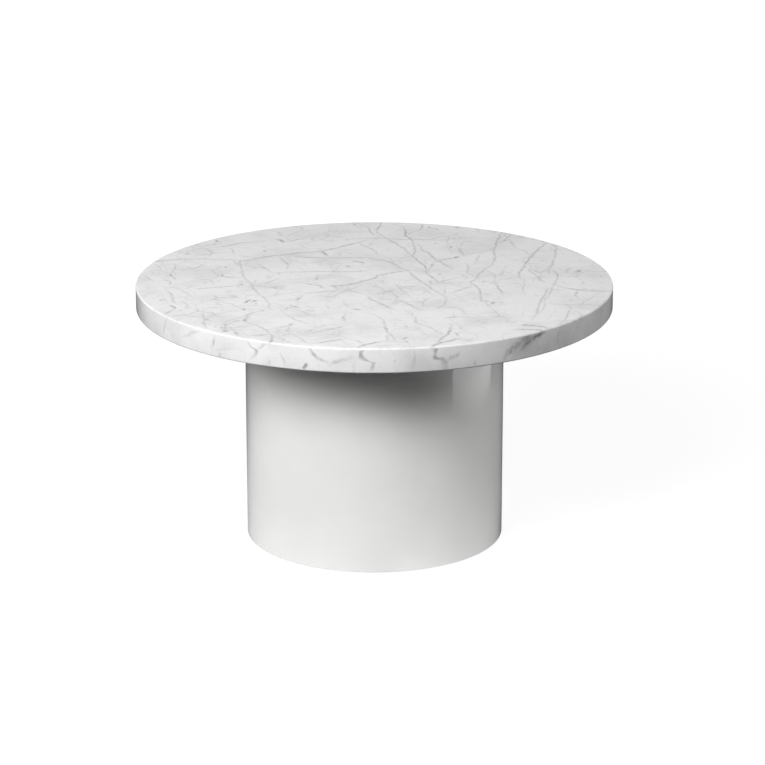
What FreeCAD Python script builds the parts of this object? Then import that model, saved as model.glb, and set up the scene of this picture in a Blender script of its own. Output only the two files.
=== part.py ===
import FreeCAD
import Part
import math
import os
import re
import Sketcher

# Round low table: a polished stone disc screwed to a rolled steel drum, standing on four levelling glides.
# Millimetres, +Z up, the origin on the floor under the middle of the drum.

sizes = {
    # Whole table
    "table_height": 305,
    "floor_gap": 2,
    "top_gap": 0.5,
    "cut_overrun": 1,
    # Stone disc
    "top_diameter": 550,
    "top_thickness": 28,
    "top_edge_radius": 3,
    # Steel drum
    "drum_diameter": 300,
    "drum_wall": 3,
    "drum_edge_radius": 0.8,
    # Plate under the stone and ring above the floor, both let into the drum
    "plate_thickness": 5,
    "plate_bore_diameter": 50,
    "ring_thickness": 5,
    "ring_width": 47,
    "weld_gap": 0.2,
    "weld_leg": 3,
    "weld_length": 45,
    # Pads between plate and stone
    "pad_inset": 16,
    "pad_diameter": 20,
    "pad_thickness": 2,
    "pad_edge_radius": 0.4,
    # Threaded inserts bonded into the stone
    "screw_inset": 15,
    "insert_diameter": 12,
    "insert_length": 15,
    "insert_groove_depth": 0.8,
    "insert_groove_width": 2,
    "insert_bond_gap": 0.2,
    "insert_end_gap": 1,
    # Button-head screws and their washers
    "screw_diameter": 6,
    "screw_length": 20,
    "screw_tip_chamfer": 0.8,
    "screw_head_diameter": 10.5,
    "screw_head_height": 3.3,
    "screw_head_land": 0.7,
    "screw_socket_across_flats": 4,
    "screw_socket_depth": 2,
    "screw_hole_clearance": 1.5,
    "washer_diameter": 18,
    "washer_thickness": 1.6,
    "washer_clearance": 0.2,
    "thread_clearance": 0.05,
    # Levelling glides
    "glide_inset": 22,
    "foot_diameter": 32,
    "foot_height": 9,
    "foot_rim_height": 4,
    "foot_edge_chamfer": 1,
    "foot_neck_diameter": 18,
    "spigot_diameter": 10,
    "spigot_length": 5,
    "swivel_clearance": 0.08,
    "swivel_gap": 0.2,
    "collar_across_flats": 13,
    "collar_height": 5,
    "glide_seat_gap": 0.3,
    "stem_diameter": 8,
    "stem_length": 22,
    "stem_tip_chamfer": 1,
    "stem_hole_clearance": 0.5,
    "nut_across_flats": 14,
    "nut_height": 6.5,
}

screw_count = 4
pad_count = 8
weld_count = 8
glide_places = ("back_right", "back_left", "front_left", "front_right")
first_glide_angle = 45
nut_chamfer_angle = 30
full_turn = 360

# Levels above the floor and radii that several pieces share
stone_underside = "(table_height - top_thickness)"
drum_top = f"({stone_underside} - top_gap)"
drum_inside = "(drum_diameter / 2 - drum_wall)"
plate_radius = f"({drum_inside} - weld_gap)"
ring_bore_radius = f"({plate_radius} - ring_width)"
pad_circle_radius = f"({plate_radius} - pad_inset)"
screw_circle_radius = f"({ring_bore_radius} - screw_inset)"
glide_circle_radius = f"({drum_inside} - glide_inset)"
plate_top = f"({stone_underside} - pad_thickness)"
plate_bottom = f"({plate_top} - plate_thickness)"
washer_bottom = f"({plate_bottom} - washer_thickness)"
head_bottom = f"({washer_bottom} - screw_head_height)"
collar_bottom = "(foot_height + swivel_gap)"
collar_top = f"({collar_bottom} + collar_height)"
ring_bottom = f"({collar_top} + glide_seat_gap)"
ring_top = f"({ring_bottom} + ring_thickness)"
nut_top = f"({ring_top} + nut_height)"

document = FreeCAD.newDocument("RoundLowTable")
sheet = document.addObject("Spreadsheet::Sheet", "Sizes")
for row, (name, size) in enumerate(sizes.items(), start=1):
    sheet.set(f"A{row}", name)
    sheet.set(f"B{row}", str(size))
    sheet.setAlias(f"B{row}", name)
document.recompute()

solids_expected = {}


def bound(formula):
    # A formula in the names of the sheet, as an expression that reads the sheet's cells
    return re.sub(r"[a-z_]+", lambda word: f"Sizes.{word[0]}" if word[0] in sizes else word[0], formula)


def value(formula):
    return float(sheet.evalExpression(bound(formula)))


def new_body(label, solids=1):
    body = document.addObject("PartDesign::Body", label)
    body.Label = label
    solids_expected[label] = solids
    return body


def datum(body, role):
    return next(feature for feature in body.Origin.OriginFeatures if feature.Role == role)


def place_sketch(body, name, plane, offset_axis, offset):
    sketch = body.newObject("Sketcher::SketchObject", name)
    sketch.AttachmentSupport = [(datum(body, plane), "")]
    sketch.MapMode = "FlatFace"
    sketch.setExpression(f"AttachmentOffset.Base.{offset_axis}", bound(offset))
    return sketch


def hold_point(sketch, line, across, up):
    # Ties the start of a line to the sketch's origin, or to an axis where a coordinate is zero
    for kind, axis, formula in (("DistanceX", -2, across), ("DistanceY", -1, up)):
        if formula == "0":
            sketch.addConstraint(Sketcher.Constraint("PointOnObject", line, 1, axis))
            continue
        held = sketch.addConstraint(Sketcher.Constraint(kind, -1, 1, line, 1, value(formula)))
        sketch.setExpression(f"Constraints[{held}]", bound(formula))


def draw_profile(body, name, points, axis_at="0"):
    # Closed outline of (radius, height) corners on the XZ plane, its own axis standing at x = axis_at
    sketch = place_sketch(body, name, "XZ_Plane", "x", axis_at)
    corners = [FreeCAD.Vector(value(radius), value(height), 0) for radius, height in points]
    following = corners[1:] + corners[:1]
    for start, end in zip(corners, following):
        sketch.addGeometry(Part.LineSegment(start, end))
    for line in range(len(points)):
        sketch.addConstraint(Sketcher.Constraint("Coincident", line, 2, (line + 1) % len(points), 1))
    for line, (radius, height) in enumerate(points):
        hold_point(sketch, line, radius, height)
    return sketch


def revolve(body, name, points, axis_at="0", kind="Revolution", angle=None):
    sketch = draw_profile(body, f"{name}_profile", points, axis_at)
    turned = body.newObject(f"PartDesign::{kind}", name)
    turned.Profile = sketch
    turned.ReferenceAxis = (sketch, ["V_Axis"])
    turned.Angle = full_turn
    if angle:
        turned.Midplane = True
        turned.setExpression("Angle", bound(angle))
    return turned


def draw_circle(sketch, diameter, across="0"):
    circle = Part.Circle(FreeCAD.Vector(value(across), 0, 0), FreeCAD.Vector(0, 0, 1), value(diameter) / 2)
    index = sketch.addGeometry(circle)
    sketch.addConstraint(Sketcher.Constraint("PointOnObject", index, 3, -1))
    if across == "0":
        sketch.addConstraint(Sketcher.Constraint("PointOnObject", index, 3, -2))
    else:
        held = sketch.addConstraint(Sketcher.Constraint("DistanceX", -1, 1, index, 3, value(across)))
        sketch.setExpression(f"Constraints[{held}]", bound(across))
    held = sketch.addConstraint(Sketcher.Constraint("Diameter", index, value(diameter)))
    sketch.setExpression(f"Constraints[{held}]", bound(diameter))


def pad_circles(body, name, diameters, bottom, thickness):
    sketch = place_sketch(body, f"{name}_outline", "XY_Plane", "z", bottom)
    for diameter in diameters:
        draw_circle(sketch, diameter)
    pad = body.newObject("PartDesign::Pad", name)
    pad.Profile = sketch
    pad.setExpression("Length", bound(thickness))
    return pad


def drill_round(body, name, bottom, depth, diameter, circle_radius, count):
    # Upright holes from the level bottom up, evenly spaced on a circle
    sketch = place_sketch(body, f"{name}_outline", "XY_Plane", "z", bottom)
    draw_circle(sketch, diameter, circle_radius)
    document.recompute()
    hole = body.newObject("PartDesign::Pocket", name)
    hole.Profile = sketch
    hole.Reversed = True
    hole.setExpression("Length", bound(depth))
    repeat_round(body, f"{name}_round", count, [hole])


def repeat_round(body, name, count, features=None):
    # Copies features, or the whole body, around the table's axis
    pattern = body.newObject("PartDesign::PolarPattern", name)
    if features:
        pattern.Originals = features
    else:
        pattern.TransformMode = "Whole shape"
    pattern.Axis = (datum(body, "Z_Axis"), [""])
    pattern.Angle = full_turn
    pattern.Occurrences = count
    body.Tip = pattern


def hexagon(body, name, kind, across_flats, bottom, height, axis_at="0"):
    prism = body.newObject(f"PartDesign::{kind}", name)
    prism.AttachmentSupport = [(datum(body, "XY_Plane"), "")]
    prism.MapMode = "FlatFace"
    prism.setExpression("AttachmentOffset.Base.x", bound(axis_at))
    prism.setExpression("AttachmentOffset.Base.z", bound(bottom))
    prism.Polygon = 6
    prism.setExpression("Circumradius", bound(f"{across_flats} / sqrt(3)"))
    prism.setExpression("Height", bound(height))
    return prism


def round_edges(body, name, base, radius, rim_radius, level=None):
    # Rounds the circular edges of that radius, at one level or at all levels
    document.recompute()
    edges = []
    for number, edge in enumerate(base.Shape.Edges, start=1):
        if not isinstance(edge.Curve, Part.Circle):
            continue
        right_rim = math.isclose(edge.Curve.Radius, value(rim_radius), rel_tol=1e-6)
        right_level = level is None or math.isclose(edge.Curve.Center.z, value(level), rel_tol=1e-6)
        if right_rim and right_level:
            edges.append(f"Edge{number}")
    fillet = body.newObject("PartDesign::Fillet", name)
    fillet.Base = (base, edges)
    fillet.setExpression("Radius", bound(radius))
    return fillet


def make_marble_top():
    body = new_body("marble_top")
    disc = pad_circles(body, "disc", ["top_diameter"], stone_underside, "top_thickness")
    round_edges(body, "eased_edges", disc, "top_edge_radius", "top_diameter / 2")
    drill_round(body, "insert_hole", stone_underside, "insert_length + insert_end_gap",
                "insert_diameter + 2 * insert_bond_gap", screw_circle_radius, screw_count)


def make_drum_shell():
    body = new_body("drum_shell")
    outside = "drum_diameter / 2"
    wall = revolve(body, "wall", [
        (drum_inside, "floor_gap"), (outside, "floor_gap"), (outside, drum_top), (drum_inside, drum_top)])
    edge_radius = "min(drum_edge_radius; drum_wall / 3)"
    outer_rims = round_edges(body, "outer_rims", wall, edge_radius, outside)
    round_edges(body, "inner_rims", outer_rims, edge_radius, drum_inside)


def make_top_plate():
    body = new_body("top_plate")
    outlines = [f"2 * {plate_radius}", "plate_bore_diameter"]
    pad_circles(body, "plate", outlines, plate_bottom, "plate_thickness")
    drill_round(body, "screw_hole", plate_bottom, "plate_thickness",
                "screw_diameter + 2 * screw_hole_clearance", screw_circle_radius, screw_count)


def make_foot_ring():
    body = new_body("foot_ring")
    outlines = [f"2 * {plate_radius}", f"2 * {ring_bore_radius}"]
    pad_circles(body, "ring", outlines, ring_bottom, "ring_thickness")
    drill_round(body, "stem_hole", ring_bottom, "ring_thickness",
                "stem_diameter + 2 * stem_hole_clearance", glide_circle_radius, len(glide_places))
    turn_to_glides(body)


def make_welds(label, corner_level, side):
    # Stitch of fillet welds in the corner between the drum's inside and a plate, above it or below it
    body = new_body(label, weld_count)
    corner = plate_radius
    revolve(body, "bead", [
        (corner, corner_level),
        (f"{corner} - weld_leg", corner_level),
        (corner, f"{corner_level} {side} weld_leg")], angle=f"weld_length / {corner} * 180 / pi")
    repeat_round(body, "beads", weld_count)


def make_bumper_pads():
    body = new_body("bumper_pads", pad_count)
    edge = "pad_diameter / 2"
    disc = revolve(body, "disc", [
        ("0", plate_top), (edge, plate_top), (edge, stone_underside), ("0", stone_underside)],
        axis_at=pad_circle_radius)
    round_edges(body, "soft_edges", disc, "min(pad_edge_radius; pad_thickness / 3)", edge)
    repeat_round(body, "discs", pad_count)


def make_stone_inserts():
    body = new_body("stone_inserts", screw_count)
    bore = "screw_diameter / 2 + thread_clearance"
    outside = "insert_diameter / 2"
    waist = f"{outside} - insert_groove_depth"
    middle = f"{stone_underside} + insert_length / 2"
    end = f"{stone_underside} + insert_length"
    revolve(body, "sleeve", [
        (bore, stone_underside),
        (outside, stone_underside),
        (outside, f"{middle} - insert_groove_width / 2"),
        (waist, f"{middle} - insert_groove_width / 2"),
        (waist, f"{middle} + insert_groove_width / 2"),
        (outside, f"{middle} + insert_groove_width / 2"),
        (outside, end),
        (bore, end)], axis_at=screw_circle_radius)
    repeat_round(body, "sleeves", screw_count)


def make_top_screws():
    body = new_body("top_screws", screw_count)
    shank = "screw_diameter / 2"
    head = "screw_head_diameter / 2"
    tip = f"{washer_bottom} + screw_length"
    screw = revolve(body, "screw", [
        ("0", head_bottom),
        (head, head_bottom),
        (head, washer_bottom),
        (shank, washer_bottom),
        (shank, f"{tip} - screw_tip_chamfer"),
        (f"{shank} - screw_tip_chamfer", tip),
        ("0", tip)], axis_at=screw_circle_radius)
    round_edges(body, "button_head", screw, "screw_head_height - screw_head_land", head, head_bottom)
    hexagon(body, "socket", "SubtractivePrism", "screw_socket_across_flats",
            head_bottom, "screw_socket_depth", screw_circle_radius)
    repeat_round(body, "screws", screw_count)


def make_top_screw_washers():
    body = new_body("top_screw_washers", screw_count)
    bore = "screw_diameter / 2 + washer_clearance"
    outside = "washer_diameter / 2"
    revolve(body, "washer", [
        (bore, washer_bottom), (outside, washer_bottom), (outside, plate_bottom), (bore, plate_bottom)],
        axis_at=screw_circle_radius)
    repeat_round(body, "washers", screw_count)


def make_glide_nuts():
    # Hexagon nuts welded on the foot ring, their upper corners turned off
    body = new_body("glide_nuts", len(glide_places))
    axis_at = glide_circle_radius
    bore = "stem_diameter / 2 + thread_clearance"
    flat = "nut_across_flats / 2"
    clear = f"{flat} + cut_overrun"
    corner_cut = f"cut_overrun * tan({nut_chamfer_angle} deg)"
    hexagon(body, "nut", "AdditivePrism", "nut_across_flats", ring_top, "nut_height", axis_at)
    document.recompute()
    revolve(body, "thread_bore", [
        ("0", ring_top), (bore, ring_top), (bore, nut_top), ("0", nut_top)], axis_at, "Groove")
    document.recompute()
    revolve(body, "corner_chamfer", [
        (flat, nut_top),
        (clear, f"{nut_top} - {corner_cut}"),
        (clear, nut_top)], axis_at, "Groove")
    repeat_round(body, "nuts", len(glide_places))
    turn_to_glides(body)


def turn_to_glides(body):
    # The first of a piece's places lies on +X: this brings it round to the first glide
    body.Placement = FreeCAD.Placement(
        FreeCAD.Vector(), FreeCAD.Rotation(FreeCAD.Vector(0, 0, 1), first_glide_angle))


def move_to_glide(body, number):
    angle = first_glide_angle + full_turn / len(glide_places) * number
    body.setExpression("Placement.Base.x", bound(f"{glide_circle_radius} * cos({angle} deg)"))
    body.setExpression("Placement.Base.y", bound(f"{glide_circle_radius} * sin({angle} deg)"))


def make_glide_foot(number, place):
    body = new_body(f"glide_foot_{place}")
    edge = "foot_diameter / 2"
    socket = "spigot_diameter / 2 + swivel_clearance"
    socket_floor = "foot_height - spigot_length"
    revolve(body, "foot", [
        ("0", "0"),
        (f"{edge} - foot_edge_chamfer", "0"),
        (edge, "foot_edge_chamfer"),
        (edge, "foot_rim_height"),
        ("foot_neck_diameter / 2", "foot_height"),
        (socket, "foot_height"),
        (socket, socket_floor),
        ("0", socket_floor)])
    move_to_glide(body, number)


def make_glide_stem(number, place):
    # Spigot turning in the foot, hexagon collar for the spanner, threaded stem up through ring and nut
    body = new_body(f"glide_stem_{place}")
    spigot = "spigot_diameter / 2"
    stem = "stem_diameter / 2"
    spigot_end = f"{collar_bottom} - spigot_length"
    tip = f"{collar_top} + stem_length"
    revolve(body, "stem", [
        ("0", spigot_end),
        (spigot, spigot_end),
        (spigot, collar_bottom),
        (stem, collar_bottom),
        (stem, f"{tip} - stem_tip_chamfer"),
        (f"{stem} - stem_tip_chamfer", tip),
        ("0", tip)])
    document.recompute()
    hexagon(body, "collar", "AdditivePrism", "collar_across_flats", collar_bottom, "collar_height")
    move_to_glide(body, number)


def check_document():
    for item in document.Objects:
        if "Invalid" in item.State or "Error" in item.State:
            raise RuntimeError(f"{item.Label} failed: {item.State}")
    for label, solids in solids_expected.items():
        shape = document.getObject(label).Shape
        if shape.isNull() or not shape.isValid():
            raise RuntimeError(f"{label} has no valid shape")
        if len(shape.Solids) != solids:
            raise RuntimeError(f"{label} has {len(shape.Solids)} solids, not {solids}")


make_marble_top()
make_drum_shell()
make_top_plate()
make_foot_ring()
make_welds("top_plate_welds", plate_bottom, "-")
make_welds("foot_ring_welds", ring_top, "+")
make_bumper_pads()
make_stone_inserts()
make_top_screws()
make_top_screw_washers()
make_glide_nuts()
for number, place in enumerate(glide_places):
    make_glide_foot(number, place)
    make_glide_stem(number, place)
document.recompute()
check_document()

os.makedirs("parts", exist_ok=True)
for label in solids_expected:
    shape = document.getObject(label).Shape
    shape.exportStep(f"parts/{label}.step")
    print(f"{label}: {len(shape.Solids)} solids, {shape.Volume:.1f} mm3")
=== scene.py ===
import math

import bmesh
import bpy
from mathutils import Matrix, Quaternion, Vector


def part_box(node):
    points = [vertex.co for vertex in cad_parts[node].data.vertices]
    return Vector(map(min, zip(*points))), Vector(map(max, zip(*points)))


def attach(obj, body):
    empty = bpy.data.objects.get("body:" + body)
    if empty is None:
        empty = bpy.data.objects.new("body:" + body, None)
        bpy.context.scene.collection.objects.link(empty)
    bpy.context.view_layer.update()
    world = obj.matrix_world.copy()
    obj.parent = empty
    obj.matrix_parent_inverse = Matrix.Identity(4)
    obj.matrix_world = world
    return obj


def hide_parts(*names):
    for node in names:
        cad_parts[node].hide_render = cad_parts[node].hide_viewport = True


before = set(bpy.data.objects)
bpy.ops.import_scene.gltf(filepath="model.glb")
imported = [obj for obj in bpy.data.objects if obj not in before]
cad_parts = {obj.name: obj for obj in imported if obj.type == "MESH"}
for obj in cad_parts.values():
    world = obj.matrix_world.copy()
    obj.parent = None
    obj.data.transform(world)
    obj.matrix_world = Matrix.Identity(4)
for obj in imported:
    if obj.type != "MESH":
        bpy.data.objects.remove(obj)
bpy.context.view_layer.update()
mm = 0.001  # metres


# Node helpers

def newTree(name):
    material = bpy.data.materials.new(name)
    material.use_nodes = True
    material.node_tree.nodes.clear()
    return material, material.node_tree


def addNode(tree, kind, **settings):
    node = tree.nodes.new(kind)
    for setting, value in settings.items():
        setattr(node, setting, value)
    return node


def feed(tree, value, socket):
    # a socket is linked, a plain number or colour is typed into the input
    if isinstance(value, bpy.types.NodeSocket):
        tree.links.new(value, socket)
    else:
        socket.default_value = value


def maths(tree, operation, *values):
    node = addNode(tree, "ShaderNodeMath", operation=operation)
    for value, socket in zip(values, node.inputs):
        feed(tree, value, socket)
    return node.outputs[0]


def vectorMaths(tree, operation, *values):
    node = addNode(tree, "ShaderNodeVectorMath", operation=operation)
    for value, socket in zip(values, node.inputs):
        feed(tree, value, socket)
    return node.outputs["Value" if operation in ("DOT_PRODUCT", "LENGTH", "DISTANCE") else "Vector"]


def separate(tree, vector):
    node = addNode(tree, "ShaderNodeSeparateXYZ")
    feed(tree, vector, node.inputs[0])
    return node.outputs


def noise(tree, vector, scale, detail=2.0, roughness=0.5, output="Fac"):
    node = addNode(tree, "ShaderNodeTexNoise")
    feed(tree, vector, node.inputs["Vector"])
    node.inputs["Scale"].default_value = scale
    node.inputs["Detail"].default_value = detail
    node.inputs["Roughness"].default_value = roughness
    return node.outputs[output]


def remap(tree, value, fromLow, fromHigh, toLow, toHigh, smooth=True):
    node = addNode(tree, "ShaderNodeMapRange")
    node.interpolation_type = "SMOOTHSTEP" if smooth else "LINEAR"
    feed(tree, value, node.inputs["Value"])
    limits = {"From Min": fromLow, "From Max": fromHigh, "To Min": toLow, "To Max": toHigh}
    for name, limit in limits.items():
        node.inputs[name].default_value = limit
    return node.outputs["Result"]


def mottle(tree, place, look):
    # noise (scale, detail, roughness) brought from one range to another
    return remap(tree, noise(tree, place, *look["noise"]), *look["range"])


def mixColour(tree, share, first, second):
    node = addNode(tree, "ShaderNodeMix", data_type="RGBA")
    feed(tree, share, node.inputs[0])
    feed(tree, first, node.inputs[6])  # the node's colour inputs, after those for numbers and vectors
    feed(tree, second, node.inputs[7])
    return node.outputs[2]


def grey(level, blue=0.0):
    return (level, level + blue / 2, level + blue, 1.0)


def onObject(tree):
    return addNode(tree, "ShaderNodeTexCoord").outputs["Object"]


def millimetres(tree):
    # where a point is on the piece, in millimetres
    node = addNode(tree, "ShaderNodeVectorMath", operation="SCALE")
    feed(tree, onObject(tree), node.inputs[0])
    node.inputs["Scale"].default_value = 1 / mm
    return node.outputs["Vector"]


def bumps(tree, place, scale, detail, depth):
    # how many to the millimetre, how fine and, in millimetres, how deep
    node = addNode(tree, "ShaderNodeBump")
    node.inputs["Strength"].default_value = 1.0
    node.inputs["Distance"].default_value = depth * mm
    feed(tree, noise(tree, place, scale, detail), node.inputs["Height"])
    return node.outputs["Normal"]


def showSurface(tree, shader):
    output = addNode(tree, "ShaderNodeOutputMaterial")
    tree.links.new(shader.outputs[0], output.inputs["Surface"])


def finishShader(tree, colour, roughness, normal, metallic=0.0, ior=1.5):
    shader = addNode(tree, "ShaderNodeBsdfPrincipled")
    feed(tree, colour, shader.inputs["Base Color"])
    feed(tree, roughness, shader.inputs["Roughness"])
    feed(tree, normal, shader.inputs["Normal"])
    shader.inputs["Metallic"].default_value = metallic
    shader.inputs["IOR"].default_value = ior
    showSurface(tree, shader)


# Mesh helpers, all in millimetres

mergeDistance = 0.001


def newPiece(name, bm, *materials):
    bmesh.ops.recalc_face_normals(bm, faces=bm.faces)
    bm.transform(Matrix.Diagonal((mm, mm, mm, 1)))
    mesh = bpy.data.meshes.new(name)
    bm.to_mesh(mesh)
    bm.free()
    for material in materials:
        mesh.materials.append(material)
    piece = bpy.data.objects.new(name, mesh)
    bpy.context.scene.collection.objects.link(piece)
    return piece


def smoothShade(piece, sharpAngle):
    for face in piece.data.polygons:
        face.use_smooth = True
    piece.data.set_sharp_from_angle(angle=math.radians(sharpAngle))


def arc(centre, radius, fromAngle, toAngle, steps):
    angles = [math.radians(fromAngle + (toAngle - fromAngle) * i / steps) for i in range(steps + 1)]
    return [(centre[0] + radius * math.cos(a), centre[1] + radius * math.sin(a)) for a in angles]


def ringOf(bm, radius, height, segments, centre=(0.0, 0.0)):
    if radius == 0:
        return [bm.verts.new((centre[0], centre[1], height))]
    turns = [2 * math.pi * i / segments for i in range(segments)]
    return [bm.verts.new((centre[0] + radius * math.cos(a), centre[1] + radius * math.sin(a), height))
            for a in turns]


def joinRings(bm, first, second):
    # faces between two rings; a ring of one point makes a fan
    for i in range(max(len(first), len(second))):
        corners = []
        for ring, steps in ((first, (i, i + 1)), (second, (i + 1, i))):
            corners += [ring[step % len(ring)] for step in steps]
        bm.faces.new(list(dict.fromkeys(corners)))


def turnProfile(bm, profile, segments, centre=(0.0, 0.0)):
    # turns (radius, height) points round an upright axis
    rings = [ringOf(bm, radius, height, segments, centre) for radius, height in profile]
    for first, second in zip(rings, rings[1:]):
        joinRings(bm, first, second)
    return rings


def nodeBox(node):
    low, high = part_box(node)
    return low / mm, high / mm


def solidPoints(node):
    # the points of each separate solid in a CAD node
    bm = bmesh.new()
    bm.from_mesh(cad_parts[node].data)
    bmesh.ops.remove_doubles(bm, verts=bm.verts, dist=mergeDistance * mm)
    seen = set()
    solids = []
    for start in bm.verts:
        if start in seen:
            continue
        reached = [start]
        seen.add(start)
        for vert in reached:
            near = {edge.other_vert(vert) for edge in vert.link_edges} - seen
            seen |= near
            reached.extend(near)
        solids.append([vert.co / mm for vert in reached])
    bm.free()
    return solids


def middleOf(points):
    return Vector([(min(axis) + max(axis)) / 2 for axis in zip(*points)])


def turnBetween(first, second):
    # the shorter way round, in degrees
    return (second - first + 180) % 360 - 180


# Polished marble

marble = {
    "white": grey(0.80),
    "shade": grey(0.665),
    "clouds": {"noise": (0.016, 4.0, 0.6), "range": (0.40, 0.72, 0.0, 1.0)},  # from white to shade
    "vein": grey(0.24, 0.014),
    "faces": {"polish": (0.07, 0.16), "ior": 1.5, "net": 1.0},
    "rim": {"polish": (0.08, 0.17), "ior": 1.36, "net": 0.4},  # a little less bright, with fewer hairlines
    "rimWiden": 1.55,  # the rim's veins are this much wider than listed
    "wiggle": ((0.022, 4.5), (0.11, 2.6), (0.45, 0.9)),  # how often veins stray, per millimetre, and how far
    "netWiggle": ((0.012, 9.0), (0.05, 3.5), (0.16, 1.0)),
    "wiggleNoise": (2.0, 0.55),  # detail and roughness
    "net": ((0.021, 2.1, 0.39), (0.05, 1.3, 0.25), (0.11, 0.9, 0.10)),  # cells to 1 mm, half width, darkness
    "netBreaks": (0.8, 2.0),  # breaks to a cell, and their detail
    "netShown": (0.43, 0.63),  # hidden below the first level of that noise, whole above the second
    "spread": 1.5,  # a vein and its soft halo, in half widths
    "fleckSpread": 1.35,
    "halo": 2.0,  # higher for a darker core and a fainter halo
    "taper": (15.0, 0.38),  # a vein's pointed ends, in millimetres and at most this share of it
    "dip": (9.0, -6.0),  # how far the veins have moved sideways at the underside
    "darkerBack": (-200, 220, 0.95, 1.08),  # from and to, in millimetres, and the darkness there
    "patches": {"noise": (0.13, 4.0, 0.65), "range": (0.3, 0.7, 0.5, 1.35)},  # veins come and go
    "grain": {"noise": (0.7, 2.0, 0.6), "range": (0.35, 0.75, 0.0, 0.05)},
    "wear": (0.05, 2.0),  # scale and detail of the noise that dulls the polish, along with the veins
    "wearReach": (0.3, 1.2),
    "pits": (0.9, 2.0, 0.002),
    "perGroup": 16,
}

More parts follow.
